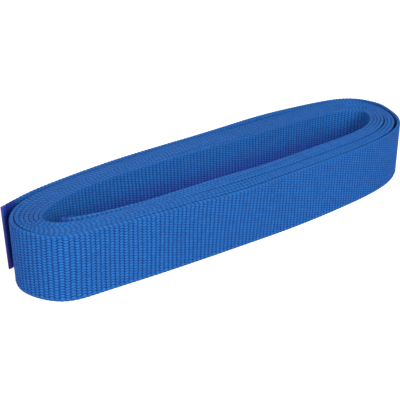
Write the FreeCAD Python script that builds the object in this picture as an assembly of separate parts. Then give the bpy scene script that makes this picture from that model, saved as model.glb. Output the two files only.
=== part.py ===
import FreeCAD, Part
import bisect
import math
import os

# A hank of flat woven webbing, wound on its edge. Millimetres, +Z up, +X along the hank.
# The outline is centred on the origin and the webbing's lower edge stands on z = 0.

# Driving dimensions
WEBBING_WIDTH = 50.0
WEBBING_THICKNESS = 2.5
PASSES = 8               # times the webbing passes along the front, the right end and the back
LEFT_BENDS = 7           # times it goes round the left end, where both of its ends stay free
BEND_X = 150.0           # beyond this distance from the middle the passes count as bends
OUTER_HINGE_X = -146.0   # where the outer free end starts to lift off the hank
INNER_HINGE_X = -134.0   # where the inner free end starts to lift off the front run
HINGE_GAP = 0.4          # room between a free end's round root and the fixed webbing
SEAL_LENGTH = 3.0        # melted bead across each cut end
SEAL_THICKNESS = 2.9
SAMPLE_STEP = 0.5        # spacing of the route's sampled points
CURVE_STEP = 7.0         # spacing of the points that a face's spline is drawn through

# Stations round the hank, counter-clockwise from above, starting at the front left:
# x, y of the inner face of the first pass; x, y of the outer face of the last pass; how many
# passes lie between them; and how far the last pass stands off the one inside it.
STATIONS = [
    (-163.0, -15.8, -170.0, -37.4, PASSES, 0.2),
    (-118.0, -22.2, -121.0, -44.9, PASSES, 0.0),
    (-60.0, -28.0, -62.0, -52.0, PASSES, 0.0),
    (5.0, -32.2, 4.0, -59.0, PASSES, 0.0),
    (75.0, -33.5, 76.0, -61.4, PASSES, 0.2),
    (128.0, -31.0, 134.0, -57.0, PASSES, 0.4),
    (157.0, -20.0, 174.0, -40.5, PASSES, 1.0),
    (171.0, -6.0, 197.0, -14.5, PASSES, 2.2),
    (173.5, 2.0, 204.5, 12.0, PASSES, 2.6),
    (166.0, 11.0, 197.0, 35.0, PASSES, 1.6),
    (140.0, 20.5, 155.0, 50.0, PASSES, 1.0),
    (80.0, 24.5, 84.0, 57.0, PASSES, 1.0),
    (0.0, 27.5, 0.0, 58.8, PASSES, 0.6),
    (-80.0, 31.0, -81.0, 58.8, PASSES, 0.2),
    (-135.0, 27.5, -139.0, 53.5, PASSES, 0.2),
    (-170.0, 17.0, -183.0, 38.5, LEFT_BENDS, 0.0),
    (-186.5, 5.0, -205.0, 18.0, LEFT_BENDS, 0.3),
    (-188.0, -3.5, -208.5, -5.0, LEFT_BENDS, 0.5),
    (-182.5, -10.5, -195.5, -29.5, LEFT_BENDS, 0.5),
]
INNER_END = [(-179.5, -6.8), (-162.5, -15.0)]  # the inner free end stands off the next pass
OUTER_END = [(-172.0, 46.3), (-199.0, 37.0)]   # the outer free end runs straight past the bends


def route_points():
    """Middle of the webbing at every station, from the inner cut end to the outer one."""
    points = []
    for turn in range(PASSES):
        for inner_x, inner_y, outer_x, outer_y, passes, stand_off in STATIONS:
            last = passes - 1
            if turn > last:
                continue
            across_x, across_y = outer_x - inner_x, outer_y - inner_y
            depth = math.hypot(across_x, across_y)
            pitch = (depth - stand_off - WEBBING_THICKNESS) / last
            offset = WEBBING_THICKNESS / 2 + turn * pitch
            if turn == last:
                offset += stand_off
            points.append((inner_x + across_x * offset / depth, inner_y + across_y * offset / depth))
    return INNER_END + points[1:] + OUTER_END


def second_derivatives(knots, values):
    """Second derivatives of the natural cubic spline through the values, at its knots."""
    count = len(knots)
    bends, pivots = [0.0] * count, [0.0] * count
    for i in range(1, count - 1):
        before, after = knots[i] - knots[i - 1], knots[i + 1] - knots[i]
        turn = (values[i + 1] - values[i]) / after - (values[i] - values[i - 1]) / before
        pivot = 2 * (before + after) - before * pivots[i - 1]
        pivots[i] = after / pivot
        bends[i] = (6 * turn - before * bends[i - 1]) / pivot
    for i in range(count - 2, 0, -1):
        bends[i] -= pivots[i] * bends[i + 1]
    return bends


def spline_samples(points):
    """Points close together along the natural cubic spline through the given points."""
    knots = [0.0]
    for (x0, y0), (x1, y1) in zip(points, points[1:]):
        knots.append(knots[-1] + math.sqrt(math.hypot(x1 - x0, y1 - y0)))
    axes = [list(axis) for axis in zip(*points)]
    bends = [second_derivatives(knots, values) for values in axes]
    samples = []
    for i in range(len(points) - 1):
        h = knots[i + 1] - knots[i]
        count = max(2, int(h * h / SAMPLE_STEP))
        for j in range(count):
            b = j / count
            a = 1 - b
            samples.append(tuple(
                a * v[i] + b * v[i + 1] + ((a**3 - a) * m[i] + (b**3 - b) * m[i + 1]) * h * h / 6
                for v, m in zip(axes, bends)))
    samples.append(points[-1])
    return samples


class Route:
    """The webbing's middle line in plan, measured by the length along it."""

    def __init__(self):
        samples = spline_samples(route_points())
        middle = [(min(axis) + max(axis)) / 2 for axis in zip(*samples)]
        self.xy = [(x - middle[0], y - middle[1]) for x, y in samples]
        self.s = [0.0]
        for p, q in zip(self.xy, self.xy[1:]):
            self.s.append(self.s[-1] + math.dist(p, q))
        self.length = self.s[-1]

    def frame(self, s):
        """Position and direction at length s, as x, y, along x, along y."""
        i = min(max(bisect.bisect_right(self.s, s) - 1, 0), len(self.s) - 2)
        part = (s - self.s[i]) / (self.s[i + 1] - self.s[i])
        x, y = (p + part * (q - p) for p, q in zip(self.xy[i], self.xy[i + 1]))
        before, after = self.xy[max(i - 1, 0)], self.xy[min(i + 2, len(self.xy) - 1)]
        reach = math.dist(before, after)
        return x, y, (after[0] - before[0]) / reach, (after[1] - before[1]) / reach

    def point(self, s, outward=0.0, onward=0.0):
        """Point at length s, moved away from the hank's middle and along the webbing."""
        x, y, ax, ay = self.frame(s)
        return FreeCAD.Vector(x + ay * outward + ax * onward, y - ax * outward + ay * onward, 0)

    def crossings(self, x):
        """Lengths along the webbing at which it crosses the line at this x."""
        found = []
        for i in range(len(self.xy) - 1):
            low, high = self.xy[i][0] - x, self.xy[i + 1][0] - x
            if (low < 0) != (high < 0):
                found.append(self.s[i] + (self.s[i + 1] - self.s[i]) * low / (low - high))
        return found


def side_curve(route, start, end, offset):
    count = max(3, int((end - start) / CURVE_STEP) + 1)
    curve = Part.BSplineCurve()
    step = (end - start) / (count - 1)
    curve.interpolate([route.point(start + step * i, offset) for i in range(count)])
    return curve.toShape()


def strip(route, start, end, thickness=WEBBING_THICKNESS, round_start=False, round_end=False):
    """A length of webbing standing on its edge, with flat or half-round ends."""
    half = thickness / 2
    outer = side_curve(route, start, end, half)
    inner = side_curve(route, start, end, -half)

    def close(s, is_round, outward):
        first, last = route.point(s, half), route.point(s, -half)
        if not is_round:
            return Part.LineSegment(first, last).toShape()
        return Part.Arc(first, route.point(s, onward=half * outward), last).toShape()

    edges = [outer, close(end, round_end, 1), inner, close(start, round_start, -1)]
    wire = Part.Wire(Part.__sortEdges__(edges))
    return Part.Face(wire).extrude(FreeCAD.Vector(0, 0, WEBBING_WIDTH))


def hank_nodes(route):
    """Cut the webbing where it crosses the lines at the bends, and sort the lengths into nodes."""
    right_cuts = route.crossings(BEND_X)
    left_cuts = [s for s in route.crossings(-BEND_X) if s > right_cuts[0]]
    inner_hinge = route.crossings(INNER_HINGE_X)[0]
    outer_hinge = route.crossings(OUTER_HINGE_X)[-1]
    root_room = WEBBING_THICKNESS / 2 + HINGE_GAP
    front_starts = [inner_hinge + root_room] + left_cuts[1::2]
    back_ends = left_cuts[0::2][:LEFT_BENDS] + [outer_hinge - root_room]
    front_ends, back_starts = right_cuts[0::2], right_cuts[1::2]

    def run(starts, ends):
        return [strip(route, a, b) for a, b in zip(starts, ends)]

    inner_seal, outer_seal = SEAL_LENGTH, route.length - SEAL_LENGTH
    nodes = {
        "front_run": run(front_starts, front_ends),
        "right_bends": run(front_ends, back_starts),
        "back_run": run(back_starts, back_ends),
        "left_bends": run(back_ends[:LEFT_BENDS], front_starts[1:]),
        "inner_free_end": [strip(route, inner_seal, inner_hinge, round_end=True)],
        "outer_free_end": [strip(route, outer_hinge, outer_seal, round_start=True)],
        "inner_end_seal": [strip(route, SEAL_THICKNESS / 2, inner_seal, SEAL_THICKNESS,
                                 round_start=True)],
        "outer_end_seal": [strip(route, outer_seal, route.length - SEAL_THICKNESS / 2,
                                 SEAL_THICKNESS, round_end=True)],
    }
    return nodes, inner_hinge, outer_hinge


def report(route, nodes, inner_hinge, outer_hinge):
    print("webbing length", round(route.length, 1))
    for name, solids in nodes.items():
        print(name, len(solids), "solids", round(sum(s.Volume for s in solids)), "mm3")
    for name, s in (("inner hinge", inner_hinge), ("outer hinge", outer_hinge)):
        place = route.point(s)
        print(name, "at", round(place.x, 3), round(place.y, 3))


def main():
    os.makedirs("parts", exist_ok=True)
    route = Route()
    nodes, inner_hinge, outer_hinge = hank_nodes(route)
    report(route, nodes, inner_hinge, outer_hinge)
    for name, solids in nodes.items():
        shape = solids[0] if len(solids) == 1 else Part.makeCompound(solids)
        shape.exportStep(f"parts/{name}.step")


main()
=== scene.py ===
"""A long flat woven strap wound on its edge into a hank, with both ends left free.

The strap is one strip. It is modelled along its route as six lengths: the inner turn, the middle
turns, and the front and back of the outer turn, which do not move, and the two free ends. A melted
tip closes each free end.
Lengths are in millimetres until a mesh is made. +Z is up and +X runs along the hank.
"""
import bpy
import math
import numpy as np
from mathutils import Matrix


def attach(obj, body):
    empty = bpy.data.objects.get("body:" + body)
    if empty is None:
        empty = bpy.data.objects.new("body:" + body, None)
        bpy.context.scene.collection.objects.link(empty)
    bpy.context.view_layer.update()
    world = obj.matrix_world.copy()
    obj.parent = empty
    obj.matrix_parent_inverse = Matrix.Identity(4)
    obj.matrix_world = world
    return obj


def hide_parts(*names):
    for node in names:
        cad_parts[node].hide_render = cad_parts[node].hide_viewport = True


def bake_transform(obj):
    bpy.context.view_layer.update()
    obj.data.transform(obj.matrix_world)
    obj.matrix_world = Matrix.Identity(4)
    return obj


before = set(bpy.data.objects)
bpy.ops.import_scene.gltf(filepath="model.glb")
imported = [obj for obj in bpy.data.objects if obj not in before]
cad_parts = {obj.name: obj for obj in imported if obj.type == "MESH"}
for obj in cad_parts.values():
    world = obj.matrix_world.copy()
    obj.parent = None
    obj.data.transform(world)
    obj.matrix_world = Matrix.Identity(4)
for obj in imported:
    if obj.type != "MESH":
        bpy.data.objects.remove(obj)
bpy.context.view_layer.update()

MM = 0.001

# ---------------------------------------------------------------- the strap and its route
WIDTH = 50.0
THICKNESS = 2.5
PASSES = 8
LEFT_BENDS = 7
PARTED_PASSES = (4, 7)                # in front these lie a little apart from the one before
SEAL_LENGTH = 3.0
SEAL_THICKNESS = 2.9
SAMPLE_STEP = 0.5
OUTER_HINGE_X = -146.0
INNER_HINGE_X = -134.0

# Stations once round the hank: the innermost pass's inner face, the outermost pass's outer face,
# how many passes cross there, and how far the last one stands off the others.
STATIONS = [
    (-163.0, -15.8, -170.0, -37.4, PASSES, 0.2), (-118.0, -22.2, -121.0, -44.9, PASSES, 0.0),
    (-60.0, -28.0, -62.0, -52.0, PASSES, 0.0), (5.0, -32.2, 4.0, -59.0, PASSES, 0.0),
    (75.0, -33.5, 76.0, -61.4, PASSES, 0.2), (128.0, -31.0, 134.0, -57.0, PASSES, 0.4),
    (157.0, -20.0, 174.0, -40.5, PASSES, 1.0), (171.0, -6.0, 197.0, -14.5, PASSES, 2.2),
    (173.5, 2.0, 204.5, 12.0, PASSES, 2.6), (166.0, 11.0, 197.0, 35.0, PASSES, 1.6),
    (140.0, 20.5, 155.0, 50.0, PASSES, 1.0), (80.0, 24.5, 84.0, 57.0, PASSES, 1.0),
    (0.0, 27.5, 0.0, 58.8, PASSES, 0.6), (-80.0, 31.0, -81.0, 58.8, PASSES, 0.2),
    (-135.0, 27.5, -139.0, 53.5, PASSES, 0.2), (-170.0, 17.0, -183.0, 38.5, LEFT_BENDS, 0.0),
    (-186.5, 5.0, -205.0, 18.0, LEFT_BENDS, 0.3), (-188.0, -3.5, -208.5, -5.0, LEFT_BENDS, 0.5),
    (-182.5, -10.5, -195.5, -29.5, LEFT_BENDS, 0.5),
]
INNER_END = [(-179.5, -6.8), (-162.5, -15.0)]
OUTER_END = [(-172.0, 46.3), (-199.0, 37.0)]


def route_points():
    """The route's points, and how much room each pass has there on its inner and outer side."""
    points, rooms = [], []
    for turn in range(PASSES):
        for inner_x, inner_y, outer_x, outer_y, passes, stand_off in STATIONS:
            last = passes - 1
            if turn > last:
                continue
            across = np.array([outer_x - inner_x, outer_y - inner_y])
            depth = math.hypot(*across)
            pitch = (depth - stand_off - THICKNESS) / last
            offset = THICKNESS / 2 + turn * pitch + (stand_off if turn == last else 0.0)
            points.append(np.array([inner_x, inner_y]) + across * offset / depth)
            room = pitch - THICKNESS
            rooms.append((0.0 if turn == 0 else room, 0.0 if turn == last else room))
    free = [(0.0, 0.0)] * 2
    return np.array(INNER_END + points[1:] + OUTER_END), np.array(free + rooms[1:] + free)


def spline_samples(points):
    """Points close together along the natural cubic spline through the given points."""
    spans = np.sqrt(np.hypot(*np.diff(points, axis=0).T))
    count = len(points)
    matrix, right = np.eye(count), np.zeros((count, 2))
    for i in range(1, count - 1):
        before, after = spans[i - 1], spans[i]
        matrix[i, i - 1:i + 2] = before, 2 * (before + after), after
        right[i] = 6 * ((points[i + 1] - points[i]) / after - (points[i] - points[i - 1]) / before)
    bends = np.linalg.solve(matrix, right)
    samples, starts = [], [0]
    for i, h in enumerate(spans):
        steps = max(2, int(h * h / SAMPLE_STEP))
        starts.append(starts[-1] + steps)
        b = (np.arange(steps) / steps)[:, None]
        a = 1 - b
        samples.append(a * points[i] + b * points[i + 1]
                       + ((a**3 - a) * bends[i] + (b**3 - b) * bends[i + 1]) * h * h / 6)
    return np.vstack(samples + [points[-1:]]), starts


class Route:
    """The strap's middle line in plan, by length along it, run on straight past both its ends."""

    def __init__(self):
        points, rooms = route_points()
        xy, starts = spline_samples(points)
        xy -= (xy.min(0) + xy.max(0)) / 2
        steps = np.hypot(*np.diff(xy, axis=0).T)
        self.length = steps.sum()
        s = np.concatenate([[0.0], np.cumsum(steps)])
        self.room_s, self.rooms = s[starts], rooms
        run_on = 10.0
        first = (xy[1] - xy[0]) / steps[0]
        last = (xy[-1] - xy[-2]) / steps[-1]
        self.s = np.concatenate([[-run_on], s, [self.length + run_on]])
        self.xy = np.vstack([xy[0] - run_on * first, xy, xy[-1] + run_on * last])
        reach = np.gradient(self.xy, self.s, axis=0)
        reach[0], reach[-1] = first, last
        self.along = reach / np.hypot(*reach.T)[:, None]
        angle = np.unwrap(np.arctan2(self.xy[:, 1], self.xy[:, 0]))
        self.turn = (angle - angle[1]) / (2 * math.pi)

    def at(self, s):
        """x, y, outward x, outward y and turns made, at each length s."""
        x, y = (np.interp(s, self.s, self.xy[:, i]) for i in (0, 1))
        ax, ay = (np.interp(s, self.s, self.along[:, i]) for i in (0, 1))
        size = np.hypot(ax, ay)
        return x, y, ay / size, -ax / size, np.interp(s, self.s, self.turn)

    def swell(self, s):
        """How far the yarn swells into the room beside each pass, on its inner and outer side.

        Along the front, gaps stay open inside the parted passes. At the left end the outermost
        pass also fills the room that its own bulge leaves.
        """
        room = (np.interp(s, self.room_s, self.rooms[:, i]) for i in (0, 1))
        x, y, _, _, turn = self.at(s)
        open_here = GAP_OPEN * parted_front(x, y)
        # A gap inside a parted pass is also outside the pass one turn before it.
        beside = [sum(in_pass(turn - made - middle) for made in PARTED_PASSES)
                  for middle in (FRONT_MIDDLE, FRONT_MIDDLE - 1)]
        inner, outer = [np.clip(r / 2 - CLEARANCE, 0.0, MOST_SWELL) * (1 - open_here * b)
                        for r, b in zip(room, beside)]
        return inner + LEFT_BULGE * outermost(turn) * left_end(x, y), outer

    def crossings(self, x):
        """Lengths along the strap at which it crosses the line at this x."""
        side = self.xy[:, 0] - x
        at = np.nonzero((side[:-1] < 0) != (side[1:] < 0))[0]
        part = side[at] / (side[at] - side[at + 1])
        return self.s[at] + (self.s[at + 1] - self.s[at]) * part


route = Route()

# ---------------------------------------------------------------- how the hank lies
FRONT_MIDDLE = 0.25                   # turns made since a pass began, at the middle of its front
CLEARANCE = 0.11                      # each pass's half of the least room between two
MOST_SWELL = 0.5
GAP_OPEN = 0.9                        # share of the swell that is missing beside an open gap
FRONT_BULGE = 0.3                     # of the outermost pass, outward
LEFT_BULGE = 0.4
RIGHT_BULGE = 0.7
UNEVEN_RISE = 0.22
INNER_RISE = 0.9                      # of the inner passes in front
BACK_RISE = 1.1                       # of the last pass behind, and how much more at its highest
BACK_RISE_PEAK = 1.3
CUT_END_RISE = 1.1                    # of the cut end's upper edge, as a share of the pass's own
FAN_LEAN = 5.0                        # of the upper edges in front, at the widest of the fan
CORNER_LEAN = 1.5
FAN_GROWTH = 1.4                      # how steeply the lean grows from the inner pass outward
BACK_LEAN = 1.0

# Each ramp is where it starts and over how much it then rises from 0 to 1.
ON_OUTSIDE_TURN = (LEFT_BENDS - 0.18, 0.08)
LAST_PASS_TURN = (PASSES - 0.95, 0.12)
OUTER_HALF_TURN = (3.6, 0.25)
FAN_TURN = (0.0, PASSES - 0.7)
PARTED_ALONG_X = (-110.0, 60.0)
RIGHT_END_ALONG_X = (110.0, 70.0)
BACK_LEAN_ALONG_X = (90.0, 70.0)
CUT_END_ALONG_X = (-202.0, 50.0)
BEHIND_ALONG_Y = (-14.0, 20.0)
# These four run the other way, so they take -x and -y.
LEFT_END_AGAINST_X = (160.0, 35.0)
LEFT_END_AGAINST_Y = (-25.0, 20.0)
FRONT_AGAINST_Y = (0.0, 12.0)
BULGE_AGAINST_Y = (-20.0, 20.0)

# Each hump is its middle and its spread along X.
FAN_HUMP = (-50.0, 45.0)
CORNER_HUMP = (-125.0, 30.0)
BACK_HUMP = (90.0, 50.0)


def ramp(value, start, over):
    """0 up to the start, rising to 1 over the length given."""
    return np.clip((value - start) / over, 0, 1)


def hump(value, middle, spread, power=2):
    """1 in the middle and near 0 past the spread. A higher power makes its top flatter."""
    return np.exp(-(((value - middle) / spread) ** power))


def in_pass(away):
    """1 up to a third of a turn away, and 0 from half a turn on."""
    return np.clip(3 - 6 * np.abs(away), 0, 1)


def outermost(turn):
    """1 once the strap has come round to the outside of the hank, and 0 before that."""
    return ramp(turn, *ON_OUTSIDE_TURN)


def last_pass_back(y, turn):
    """1 on the last pass, behind the hank's middle, and 0 elsewhere."""
    return ramp(turn, *LAST_PASS_TURN) * ramp(y, *BEHIND_ALONG_Y)


def parted_front(x, y):
    """1 where the passes lie in parted groups, which is along the front, and 0 elsewhere."""
    return ramp(x, *PARTED_ALONG_X) * ramp(-y, *FRONT_AGAINST_Y)


def left_end(x, y):
    """1 round the front of the left bends, and 0 elsewhere."""
    return ramp(-x, *LEFT_END_AGAINST_X) * ramp(-y, *LEFT_END_AGAINST_Y)


def bulge(x, y, turn):
    """How far the outermost pass stands out at the bends and along the front."""
    right = ramp(x, *RIGHT_END_ALONG_X)
    front = ramp(-y, *BULGE_AGAINST_Y)
    return outermost(turn) * (FRONT_BULGE * front + LEFT_BULGE * left_end(x, y)
                              + RIGHT_BULGE * right)


def rise(s, x, y, z, turn):
    """How far the strap is lifted.

    The passes inside the outermost one lie a little unevenly, and the inner ones stand higher in
    front. The last pass rides up behind, all but its very foot at the cut end, where the melted
    edge has spread.
    """
    waves = 1.3 + np.sin(s / 47.0) + 0.6 * np.sin(s / 19.0 + 1.3)
    uneven = UNEVEN_RISE * (1 - outermost(turn)) * waves
    inner = INNER_RISE * parted_front(x, y) * (1 - ramp(turn, *OUTER_HALF_TURN))
    ridden = BACK_RISE + BACK_RISE_PEAK * hump(x, *BACK_HUMP)
    foot = ramp(x, *CUT_END_ALONG_X)
    upright = foot + (1 - foot) * CUT_END_RISE * z / WIDTH
    return uneven + inner + last_pass_back(y, turn) * ridden * upright


def lean(x, y, turn):
    """How far the top edge leans outward. The front of the hank fans open towards its left."""
    opened = FAN_LEAN * hump(x, *FAN_HUMP) + CORNER_LEAN * hump(x, *CORNER_HUMP, power=4)
    fanned = ramp(-y, *FRONT_AGAINST_Y) * opened * ramp(turn, *FAN_TURN) ** FAN_GROWTH
    return fanned + last_pass_back(y, turn) * BACK_LEAN * ramp(x, *BACK_LEAN_ALONG_X)


# ---------------------------------------------------------------- the weave
COLUMNS = 1860                        # weft columns along the whole strap
ROWS = 23                             # warp rows across it
COLUMN = route.length / COLUMNS       # about 3.6 mm
EDGE_ROUND = 1.1                      # height of the rounded selvedge
ROW = (WIDTH - 2 * EDGE_ROUND) / ROWS
SKEW = 0.027                          # the columns lean by this much of their height
CELL = (0.0, 0.17, 0.5, 0.83)         # where a woven cell is sampled, from its groove
CELL_HEIGHT = (0.0, 0.74, 1.0, 0.74)  # how high the bead stands there
CELL_STAGGER = 0.5                    # rows by which every other column is moved
DEEP_GROOVE = 0.42                    # before an even column
SHALLOW_GROOVE = 0.34                 # before an odd one
ROW_GROOVE = 0.42
DEEPEST = 0.72                        # where a column's groove meets a row's
BEAD_PROUD = 0.42                     # how far a woven face's beads stand out of the strap
TICK_HEIGHT = 0.40                    # weft loops over the selvedge
TICK_SLANT = 0.16                     # columns that a loop goes on per millimetre of thickness
ARC_ANGLES = (30.0, 62.0, 90.0, 118.0, 150.0)
ARC_POWER = 0.8                       # under 1, so the selvedge is squarer than a round
ARC_ROWS = 1.1                        # rows that the colour is numbered on by, over a selvedge
NEAR_END = 0.02                       # columns from a piece's end where no other ring lies
NEAR_GROOVE = 0.01
BOW = 0.30
# Waves in the weave: height, length along the strap, length across it, and phase.
DRIFT_WAVES = [(0.16, 23.0, 11.0, 0.0), (0.12, 9.1, -6.3, 2.0)]
# Waves in the melted edge: height, length across the strap, and phase.
RAGGED_WAVES = [(0.22, 1.7, 0.0), (0.20, 4.3, 1.0)]
RAGGED_LENGTH = 8.0


def sideways(s, z):
    """How far the weave is pulled along the strap at each length and height."""
    bow = BOW * np.sin(s / 61.0 + 0.8) * (1 - ((z - WIDTH / 2) / (WIDTH / 2)) ** 2)
    drift = sum(high * np.sin(s / along + z / across + phase)
                for high, along, across, phase in DRIFT_WAVES)
    melted = np.clip((s - route.length) / RAGGED_LENGTH + 1, 0, 1)
    ragged = melted * sum(high * np.sin(z / across + phase) for high, across, phase in RAGGED_WAVES)
    return SKEW * (z - WIDTH / 2) + bow + drift + ragged


def ring_lengths(first, last):
    """Columns at which a piece is sampled along the strap, and the bead's height there."""
    columns = [first]
    heights = [None]
    for c in range(math.floor(first), math.ceil(last)):
        for part, height in zip(CELL, CELL_HEIGHT):
            if first + NEAR_END < c + part < last - NEAR_END:
                columns.append(c + part)
                heights.append(height)
    columns.append(last)
    heights.append(None)
    for i in (0, -1):
        part = columns[i] - math.floor(columns[i])
        heights[i] = float(np.interp(part, CELL + (1.0,), CELL_HEIGHT + (0.0,)))
    return np.array(columns), np.array(heights)


def profile(thickness, outer_woven, inner_woven):
    """The strap's cross-section, once round from the foot of its outer face.

    Each point is height, offset outward, bead height, face weight (+1 outer, -1 inner), tick weight,
    and each side from a point to the next has the row numbers at its two ends.
    """
    half = thickness / 2
    points, sides = [], []

    def face(sign, woven, upward):
        marks = [(row + part, height) for row in range(ROWS)
                 for part, height in zip(CELL, CELL_HEIGHT)]
        marks = [(r, h) for r, h in marks if woven or r == 0.0] + [(float(ROWS), 0.0)]
        if not upward:
            marks = [(ROWS - r, h) for r, h in marks]
        for i, (r, h) in enumerate(marks):
            points.append((EDGE_ROUND + r * ROW, sign * half, h, sign if woven else 0.0, 0.0))
            if i + 1 < len(marks):
                sides.append((r, marks[i + 1][0]))

    def edge(top):
        row = ROWS if top else 0.0
        step = 1.0 / (len(ARC_ANGLES) + 1)
        for degrees in ARC_ANGLES:
            a = math.radians(degrees)
            up = EDGE_ROUND * math.sin(a) ** ARC_POWER
            across = half * math.copysign(abs(math.cos(a)) ** ARC_POWER, math.cos(a))
            z = WIDTH - EDGE_ROUND + up if top else EDGE_ROUND - up
            points.append((z, across if top else -across, 0.0, 0.0, math.sin(a)))
        for i in range(len(ARC_ANGLES) + 1):
            reach = (i * step, (i + 1) * step)
            sides.append(tuple(row + (r if top else -r) * ARC_ROWS for r in reach))

    face(1.0, outer_woven, True)
    edge(True)
    face(-1.0, inner_woven, False)
    edge(False)
    return np.array(points), np.array(sides)


def strap_points(columns, bead_along, points, woven, half, taper):
    """Where the mesh's points lie, in metres: a ring round the cross-section at each column."""
    z, offset, bead_across, face, tick = points.T
    s = (columns * COLUMN)[:, None]
    # The beads of odd columns lie between those of even ones. A groove lies half way.
    part = columns - np.floor(columns)
    stagger = np.where(part < NEAR_GROOVE, CELL_STAGGER / 2,
                       np.where(np.floor(columns) % 2 == 1, CELL_STAGGER, 0.0))
    row = (z - EDGE_ROUND) / ROW
    inside = np.clip(row, 0, 1) * np.clip(ROWS - row, 0, 1)
    z = z[None, :] + (stagger[:, None] * inside[None, :] * ROW if woven else 0)
    x, y, out_x, out_y, turn = route.at(s + sideways(s, z))

    # Between the columns of a pair the groove is shallow where the beads meet.
    number = np.round(columns).astype(int)
    deep = np.where(number % 2 == 0, DEEP_GROOVE, SHALLOW_GROOVE)[:, None]
    sunk = deep * (1 - bead_along[:, None]) + ROW_GROOVE * (1 - bead_across[None, :])
    sunk = np.minimum(sunk, DEEPEST)
    across = offset[None, :] - face[None, :] * (sunk - BEAD_PROUD)
    swell_in, swell_out = route.swell(s)
    across = across + offset[None, :] / half * np.where(offset[None, :] > 0, swell_out, swell_in)
    # The weft turns over the selvedge as slanted loops.
    phase = columns[:, None] + TICK_SLANT * offset[None, :]
    loops = TICK_HEIGHT * tick[None, :] * (0.5 - 0.5 * np.cos(2 * math.pi * phase))
    toward = np.where(z > WIDTH / 2, -1.0, 1.0)
    height = z + toward * (TICK_HEIGHT * tick[None, :] - loops)
    if taper is not None:
        across = across * taper(s)
    across = across + lean(x, y, turn) * z / WIDTH + bulge(x, y, turn)
    height = height + rise(s, x, y, z, turn)
    return np.stack([x + out_x * across, y + out_y * across, height], axis=-1) * MM


def strap_mesh(name, co, columns, heights, sides):
    """A closed tube through the rings, capped at both ends, with column and row numbers as UVs."""
    rings, around = co.shape[:2]
    i, j = np.meshgrid(np.arange(rings - 1), np.arange(around), indexing="ij")
    k = (j + 1) % around
    quads = np.stack([i * around + j, (i + 1) * around + j, (i + 1) * around + k,
                      i * around + k], axis=-1).reshape(-1, 4)
    low, high = sides[j, 0], sides[j, 1]
    u0, u1 = columns[i], columns[i + 1]
    uv = np.stack([np.stack([u0, u1, u1, u0], -1), np.stack([low, low, high, high], -1)],
                  -1).reshape(-1, 2)
    faces = [tuple(q) for q in quads]
    caps = [tuple(range(around)), tuple((rings - 1) * around + n for n in reversed(range(around)))]
    cap_uv = [(columns[c], heights[n] / ROW) for c, cap in ((0, caps[0]), (-1, caps[1]))
              for n in (m % around for m in cap)]

    mesh = bpy.data.meshes.new(name)
    mesh.from_pydata(co.reshape(-1, 3), [], faces + caps)
    layer = mesh.uv_layers.new(name="weave")
    layer.data.foreach_set("uv", np.vstack([uv, cap_uv]).astype(np.float32).ravel())
    mesh.shade_smooth()
    mesh.update()
    piece = bpy.data.objects.new(name, mesh)
    bpy.context.collection.objects.link(piece)
    return piece


def strap(name, first, last, outer_woven=False, inner_woven=False, thickness=THICKNESS,
          taper=None):
    """A closed mesh of the strap from one column number to another.

    taper gives, for each length, how much of the thickness is left there, for a melted end.
    """
    columns, bead_along = ring_lengths(first, last)
    points, sides = profile(thickness, outer_woven, inner_woven)
    co = strap_points(columns, bead_along, points, outer_woven or inner_woven, thickness / 2, taper)
    return strap_mesh(name, co, columns, points[:, 0], sides)


# ---------------------------------------------------------------- materials
YARN = (0.016, 0.137, 0.382)
# The grooves' colour is partly the deeper yarn's own tone and partly painted shade in the grooves.
GROOVE_TONE_AND_SHADE = (0.004, 0.034, 0.155)
# The outer end's dark navy is partly its melted yarn's own colour and partly painted shade, as dark
# as the shaded tail.
NAVY_MELT_AND_SHADE = (0.008, 0.026, 0.190)
MELTED_BLUE = (0.007, 0.060, 0.240)   # the inner end is hardly darker than the webbing
FLECK = (0.02, 0.06, 0.27)
SHEEN_BLUE = (0.35, 0.55, 1.0)
FOOT_TINT = (2.7, 0.70, 1.28, 1.0)    # stands in for light bounced between plies, low inside
FOOT_HEIGHT = 0.042                   # metres, above which there is no tint
BEAD_LENGTH = 1.06                    # of the painted beads, in woven cells
BEAD_WIDTH = 0.96
BEAD_FADE = (0.58, 1.16)              # from a bead's bright yarn to the dark of the groove
# Between two loops over the selvedge the grooves' colour shows: partly yarn tone, partly painted
# shade.
LOOP_FADE = (0.25, 1.0)
LOOP_DARK = 0.34                      # how much yarn is left in the dark between two loops
LOOP_SLANT = 0.35                     # columns that a painted loop goes on per row
FILAMENTS = (9.4, 62.8)               # fine threads, as radians per column and per row
WEBBING_ROUGHNESS = 0.70
ROUGHNESS_SPREAD = 0.16
NOISE_ROUGHNESS = 0.55


def shade(colour, factor=1.0):
    """The colour, lighter or darker by a factor and opaque."""
    return [min(1.0, c * factor) for c in colour] + [1.0]


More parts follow.
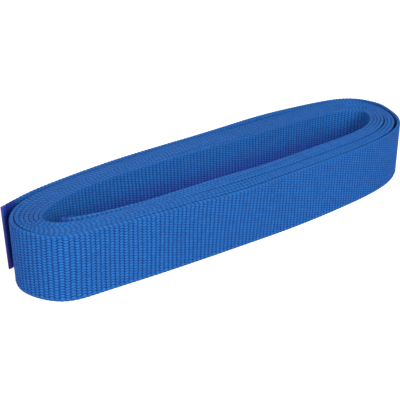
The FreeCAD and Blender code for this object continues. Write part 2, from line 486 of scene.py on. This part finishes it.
class Nodes:
    """A short way to write a material's nodes."""

    def __init__(self, name):
        self.material = bpy.data.materials.new(name)
        self.material.use_nodes = True
        self.tree = self.material.node_tree
        self.tree.nodes.clear()

    def node(self, kind, **settings):
        made = self.tree.nodes.new("ShaderNode" + kind)
        for key, value in settings.items():
            setattr(made, key, value)
        return made

    def put(self, value, socket):
        """Links a socket, or sets a plain value."""
        if isinstance(value, bpy.types.NodeSocket):
            self.tree.links.new(value, socket)
        else:
            socket.default_value = value

    def math(self, operation, *values):
        made = self.node("Math", operation=operation)
        for value, socket in zip(values, made.inputs):
            self.put(value, socket)
        return made.outputs[0]

    def mix(self, amount, a, b, blend="MIX"):
        made = self.node("Mix", data_type="RGBA", blend_type=blend)
        self.put(amount, made.inputs["Factor"])
        self.put(a, made.inputs[6])
        self.put(b, made.inputs[7])
        return made.outputs[2]

    def smooth(self, value, low, high, to_low=0.0, to_high=1.0):
        made = self.node("MapRange", interpolation_type="SMOOTHSTEP")
        for key, v in (("Value", value), ("From Min", low), ("From Max", high),
                       ("To Min", to_low), ("To Max", to_high)):
            self.put(v, made.inputs[key])
        return made.outputs["Result"]

    def split(self, vector):
        made = self.node("SeparateXYZ")
        self.put(vector, made.inputs[0])
        return made.outputs

    def white(self, u, v):
        vector = self.node("CombineXYZ")
        self.put(u, vector.inputs[0])
        self.put(v, vector.inputs[1])
        made = self.node("TexWhiteNoise", noise_dimensions="2D")
        self.put(vector.outputs[0], made.inputs["Vector"])
        return made.outputs["Value"]

    def noise(self, vector, scale, detail=3.0):
        made = self.node("TexNoise", noise_dimensions="3D")
        self.put(vector, made.inputs["Vector"])
        for key, value in (("Scale", scale), ("Detail", detail), ("Roughness", NOISE_ROUGHNESS)):
            made.inputs[key].default_value = value
        return made.outputs["Fac"]

    def bump(self, height, strength, distance):
        made = self.node("Bump")
        made.inputs["Strength"].default_value = strength
        made.inputs["Distance"].default_value = distance
        self.put(height, made.inputs["Height"])
        return made.outputs["Normal"]

    def surface(self, shader):
        """Ends the material with its shader."""
        output = self.node("OutputMaterial")
        self.put(shader.outputs[0], output.inputs["Surface"])
        return self.material


def webbing_material(name, end=None, foot_bounce_light=None):
    """Woven yarn.

    end is a colour that the yarn goes over to, and the two column numbers between which it does.
    foot_bounce_light is painted bounce light: how the colour is multiplied at the strap's foot,
    inside the hank.
    """
    n = Nodes(name)
    u, v = n.split(n.node("UVMap", uv_map="weave").outputs["UV"])[:2]
    place = n.node("TexCoord").outputs["Object"]

    def across_bead(value, width):
        """0 in the middle of a bead and 1 in the groove beside it, for a bead of width 1."""
        off = n.math("ABSOLUTE", n.math("SUBTRACT", n.math("FRACT", value), 0.5))
        return n.math("MULTIPLY", off, 2.0 / width)

    # Each bead is a rounded patch of bright yarn with the dark of the grooves round it, partly yarn
    # tone and partly painted shade.
    u_off, v_off = across_bead(u, BEAD_LENGTH), across_bead(v, BEAD_WIDTH)
    spread = n.math("SQRT", n.math("ADD", n.math("MULTIPLY", u_off, u_off),
                                   n.math("MULTIPLY", v_off, v_off)))
    woven = n.smooth(spread, *BEAD_FADE, 1.0, 0.0)
    on_edge = n.math("MAXIMUM", n.math("LESS_THAN", v, 0.0), n.math("GREATER_THAN", v, ROWS))
    loop = n.smooth(across_bead(n.math("MULTIPLY_ADD", v, LOOP_SLANT, u), 1.0), *LOOP_FADE,
                    1.0, LOOP_DARK)
    on_bead = n.mix(on_edge, woven, loop)

    # The yarn varies from bead to bead and in wide soft patches, and shows its fine threads.
    tone = n.mix(n.white(n.math("FLOOR", u), n.math("FLOOR", v)), shade(YARN, 0.90),
                 shade(YARN, 1.10))
    worn = n.mix(n.smooth(n.noise(place, 34.0), 0.35, 0.70, 0.0, 0.25), tone, shade(YARN, 1.18))
    along, across = FILAMENTS
    filament = n.math("SINE", n.math("ADD", n.math("MULTIPLY", v, across),
                                     n.math("MULTIPLY", u, along)))
    fine = n.math("MULTIPLY_ADD", filament, 0.5, 0.5)
    threads = n.mix(n.math("MULTIPLY", fine, 0.16), worn, shade(YARN, 0.55))
    # The grooves and the gaps between loops take the dark colour: partly yarn tone, partly painted
    # shade.
    colour = n.mix(on_bead, shade(GROOVE_TONE_AND_SHADE), threads)
    # Painted bounce light: the colour is tinted violet towards the strap's foot.
    if foot_bounce_light is not None:
        amount = n.smooth(n.split(place)[2], 0.0, FOOT_HEIGHT, 1.0, 0.0)
        colour = n.mix(amount, colour, foot_bounce_light, blend="MULTIPLY")
    if end is not None:
        end_colour, end_from, end_to = end
        ragged = n.math("MULTIPLY", n.math("SUBTRACT", n.noise(place, 260.0), 0.5), 1.2)
        amount = n.smooth(n.math("ADD", u, ragged), end_from, end_to)
        colour = n.mix(amount, colour, shade(end_colour))

    fuzz = n.noise(place, 2600.0, 2.0)
    raised = n.math("ADD", n.math("MULTIPLY", fine, 0.6), n.math("MULTIPLY", fuzz, 0.7))
    shader = n.node("BsdfPrincipled")
    n.put(colour, shader.inputs["Base Color"])
    n.put(n.math("MULTIPLY_ADD", fuzz, ROUGHNESS_SPREAD, WEBBING_ROUGHNESS - ROUGHNESS_SPREAD / 2),
          shader.inputs["Roughness"])
    shader.inputs["Specular IOR Level"].default_value = 0.08
    shader.inputs["Sheen Weight"].default_value = 0.03
    shader.inputs["Sheen Roughness"].default_value = 0.45
    shader.inputs["Sheen Tint"].default_value = shade(SHEEN_BLUE)
    n.put(n.bump(raised, 0.5, 0.00012), shader.inputs["Normal"])
    return n.surface(shader)


def seal_material(name, colour, specular):
    """Yarn ends melted together: dark, lumpy and a little shiny."""
    n = Nodes(name)
    place = n.node("TexCoord").outputs["Object"]
    lumps = n.noise(place, 700.0, 4.0)
    flecks = n.smooth(n.noise(place, 1500.0, 2.0), 0.58, 0.72)
    tone = n.mix(lumps, shade(colour, 0.6), shade(colour, 1.5))
    tone = n.mix(n.math("MULTIPLY", flecks, 0.5), tone, shade(FLECK))
    shader = n.node("BsdfPrincipled")
    n.put(tone, shader.inputs["Base Color"])
    shader.inputs["Specular IOR Level"].default_value = specular
    n.put(n.math("MULTIPLY_ADD", lumps, 0.3, 0.35), shader.inputs["Roughness"])
    n.put(n.bump(lumps, 0.6, 0.0004), shader.inputs["Normal"])
    return n.surface(shader)


# ---------------------------------------------------------------- the pieces
INNER_TURN_X = -118.0                 # where the inner turn is cut, as its second pass begins
OUTER_TURN_X = -120.0                 # where the outer turn is cut, behind its left bend
RIGHT_CUT_X = 165.0                   # where the outer turn's front meets its back
ROOT_REACH = 14.0                     # from the hinge to where the free end's piece begins
TIP_OVER = 0.46                       # columns by which the outer tip runs on past the route
LIP_LEFT = 0.35                       # share of the thickness left at a melted end's very lip

outer_hinge = route.crossings(OUTER_HINGE_X)[-1]
inner_hinge = route.crossings(INNER_HINGE_X)[0]


def column_at(s):
    """The even column number nearest to a length: a groove, where a joint is hidden."""
    return 2 * round(s / COLUMN / 2)


outer_root = column_at(outer_hinge - ROOT_REACH)
inner_root = column_at(inner_hinge + ROOT_REACH)
right_cut = column_at(route.crossings(RIGHT_CUT_X)[-2])
front_from = column_at(route.crossings(OUTER_TURN_X)[-3])
past_inner_end = [s for s in route.crossings(INNER_TURN_X) if s > inner_hinge + WIDTH]
inner_to = column_at(past_inner_end[1])
outer_seal = (route.length - SEAL_LENGTH) / COLUMN
inner_seal = SEAL_LENGTH / COLUMN

webbing = webbing_material("webbing_weave")
inside_webbing = webbing_material("webbing_inside", foot_bounce_light=FOOT_TINT)
# The outer end goes over to dark navy near its tip: partly melt, partly painted shade.
outer_webbing = webbing_material("webbing_outer_end", (NAVY_MELT_AND_SHADE, COLUMNS - 5.5, COLUMNS - 1.6))
inner_webbing = webbing_material("webbing_inner_end", (MELTED_BLUE, 2.0, 1.0), FOOT_TINT)
# The outer tip's melt is dark navy: partly its own colour, partly painted shade.
seal = seal_material("sealed_edge_melt", NAVY_MELT_AND_SHADE, 0.4)
inner_seal_melt = seal_material("sealed_inner_melt", MELTED_BLUE, 0.05)


def end_taper(tip):
    """A melted end thins over its last length to a blunt lip."""
    def taper(s):
        left = np.clip(np.abs(s - tip) / (SEAL_THICKNESS * 0.6), 0, 1)
        return LIP_LEFT + (1 - LIP_LEFT) * np.sqrt(1 - (1 - left) ** 2)
    return taper


hank_nodes = ("front_run", "right_bends", "back_run", "left_bends")
hank_lengths = [
    ("strap_inner_turn", inner_root, inner_to, {"inner_woven": True}),
    ("strap_middle_turns", inner_to, front_from, {}),
    ("strap_outer_front", front_from, right_cut, {"outer_woven": True}),
    ("strap_outer_back", right_cut, outer_root, {"outer_woven": True}),
]
hank_pieces = [strap(name, a, b, **woven) for name, a, b, woven in hank_lengths]
for piece, (_, a, b, _) in zip(hank_pieces, hank_lengths):
    piece.data.materials.append(inside_webbing if piece is hank_pieces[0] else webbing)
    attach(piece, "hank")
    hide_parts(*hank_nodes)


def free_end(name, first, last, material, node):
    """A free length of the strap, from a little inside its hinge on the hank to its melted tip."""
    piece = strap(name, first, last, outer_woven=True, inner_woven=True)
    piece.data.materials.append(material)
    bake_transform(piece)
    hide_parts(node)
    return piece


def sealed_end(name, first, last, tip, material, body, node):
    """A melted end of the strap, thinning towards its tip."""
    piece = strap(name, first, last, thickness=SEAL_THICKNESS, taper=end_taper(tip))
    piece.data.materials.append(material)
    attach(piece, body)
    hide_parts(node)
    return piece


outer_end = free_end("strap_outer_end", outer_root, outer_seal, outer_webbing,
                     "outer_free_end")
inner_end = free_end("strap_inner_end", inner_seal, inner_root, inner_webbing,
                     "inner_free_end")
outer_lip = sealed_end("sealed_outer_tip", outer_seal, COLUMNS + 0.45,
                       route.length + TIP_OVER * COLUMN, seal, "outer_end", "outer_end_seal")
inner_lip = sealed_end("sealed_inner_tip", 0.02, inner_seal, 0.0, inner_seal_melt, "inner_end",
                       "inner_end_seal")

# ---------------------------------------------------------------- floor, lights and camera
# From here on lengths are in metres.
WHITE = (1.0, 1.0, 1.0, 1.0)
VIOLET = (1.0, 0.20, 1.0, 1.0)
SKY = (0.82, 0.56, 1.0, 1.0)
FLOOR_HALF = 4.0
FLOOR_TONE = 0.50
FLOOR_GLOW = 0.85
BOUNCE_TONE = 0.45
BOUNCE_GLOW = 0.22
BOUNCE_DROP = -0.0005                 # it lies just under the floor that is seen
OUTLINE_OVAL = (0.209, 0.060)         # half sizes of ovals like the hank and its opening
OPENING_OVAL = (0.182, 0.030)
OUTLINE_FADE = (0.74, 0.83)           # where the glow comes or goes, as a share squared
# Inside the opening the floor's glow is dimmer and fades out towards the walls: painted shade, on
# top of the real shade from the lights.
OPENING_SHADE_FADE = (0.50, 1.0)
OPENING_GLOW = 0.75                   # of the floor's glow, inside the opening
AIM = (0.0, 0.0, 0.02)
LIGHTS = [                            # name, place, size, watts
    ("key", (-0.15, -1.50, 0.80), 1.0, 27.5),
    ("fill", (-1.4, -0.35, 0.6), 1.2, 14.0),
    ("back", (0.7, 1.5, 0.6), 1.2, 9.5),
]
CAMERA_PLACE = (-0.43055, -0.42870, 0.27710)
CAMERA_HEADING = -42.218              # degrees about Z, from looking along +Y
CAMERA_DOWN = 23.845                  # degrees below the level
CAMERA_ROLL = -0.0052651              # radians


def floor_material(name, tone, glow_colour, brightness, seen):
    """A diffuse floor with a glow. On the one that is seen, it stops where the hank stands, and
    inside the opening it is dimmer and fades out towards the walls: painted shade.
    """
    n = Nodes(name)
    diffuse = n.node("BsdfDiffuse")
    diffuse.inputs["Color"].default_value = (tone, tone, tone, 1.0)
    glow = n.node("Emission")
    glow.inputs["Color"].default_value = glow_colour
    if seen:
        place = n.split(n.node("TexCoord").outputs["Object"])

        def oval(*halves):
            """1 on the oval with these half sizes, and less inside it."""
            parts = [n.math("POWER", n.math("DIVIDE", place[i], half), 2.0)
                     for i, half in enumerate(halves)]
            return n.math("ADD", *parts)

        outside = n.smooth(oval(*OUTLINE_OVAL), *OUTLINE_FADE, 0.0, brightness)
        # Painted shade: inside the opening the glow is dimmer and fades out towards the walls.
        opening = n.smooth(oval(*OPENING_OVAL), *OPENING_SHADE_FADE, OPENING_GLOW * brightness, 0.0)
        n.put(n.math("ADD", outside, opening), glow.inputs["Strength"])
    else:
        glow.inputs["Strength"].default_value = brightness
    both = n.node("AddShader")
    n.put(diffuse.outputs[0], both.inputs[0])
    n.put(glow.outputs[0], both.inputs[1])
    return n.surface(both)


def floor_plane(name, z, tone, glow_colour, brightness, seen):
    """A wide floor. The one that is seen has walls round it for a backdrop."""
    ring = [(-FLOOR_HALF, -FLOOR_HALF), (FLOOR_HALF, -FLOOR_HALF), (FLOOR_HALF, FLOOR_HALF),
            (-FLOOR_HALF, FLOOR_HALF)]
    corners = [(x, y, h) for h in (z, FLOOR_HALF) for x, y in ring]
    sides = [(i, i + 4, (i + 1) % 4 + 4, (i + 1) % 4) for i in range(4)]
    mesh = bpy.data.meshes.new(name)
    mesh.from_pydata(corners if seen else corners[:4], [],
                     [(0, 1, 2, 3)] + (sides if seen else []))
    plane = bpy.data.objects.new(name, mesh)
    mesh.materials.append(floor_material(name, tone, glow_colour, brightness, seen))
    bpy.context.collection.objects.link(plane)
    return plane


# The floor that is seen is near white; the one below it only sends light back up.
floor = floor_plane("studio_floor", 0.0, FLOOR_TONE, WHITE, FLOOR_GLOW, True)
floor.visible_diffuse = floor.visible_glossy = floor.visible_shadow = False
bounce = floor_plane("studio_bounce", BOUNCE_DROP, BOUNCE_TONE, VIOLET, BOUNCE_GLOW, False)
bounce.visible_camera = False

world = bpy.data.worlds.new("studio")
bpy.context.scene.world = world
world.use_nodes = True
world.node_tree.nodes["Background"].inputs["Color"].default_value = SKY
world.node_tree.nodes["Background"].inputs["Strength"].default_value = 0.52


def area_light(name, place, size, watts):
    """A round soft light that points at the hank."""
    data = bpy.data.lights.new(name, "AREA")
    data.shape = "DISK"
    data.size = size
    data.energy = watts
    light = bpy.data.objects.new(name, data)
    way = np.array(AIM) - np.array(place)
    turn = math.atan2(way[1], way[0]) - math.pi / 2
    tip = math.atan2(math.hypot(way[0], way[1]), -way[2])
    light.matrix_world = (Matrix.Translation(place) @ Matrix.Rotation(turn, 4, "Z")
                          @ Matrix.Rotation(tip, 4, "X"))
    bpy.context.collection.objects.link(light)


for light in LIGHTS:
    area_light(*light)

camera_data = bpy.data.cameras.new("camera")
camera_data.sensor_width = 36.0
camera_data.lens = 69.6
camera_data.clip_start = 0.02
camera = bpy.data.objects.new("camera", camera_data)
camera.matrix_world = (Matrix.Translation(CAMERA_PLACE)
                       @ Matrix.Rotation(math.radians(CAMERA_HEADING), 4, "Z")
                       @ Matrix.Rotation(math.radians(90.0 - CAMERA_DOWN), 4, "X")
                       @ Matrix.Rotation(CAMERA_ROLL, 4, "Z"))
bpy.context.collection.objects.link(camera)
bpy.context.scene.camera = camera
bpy.context.scene.view_settings.view_transform = "Standard"
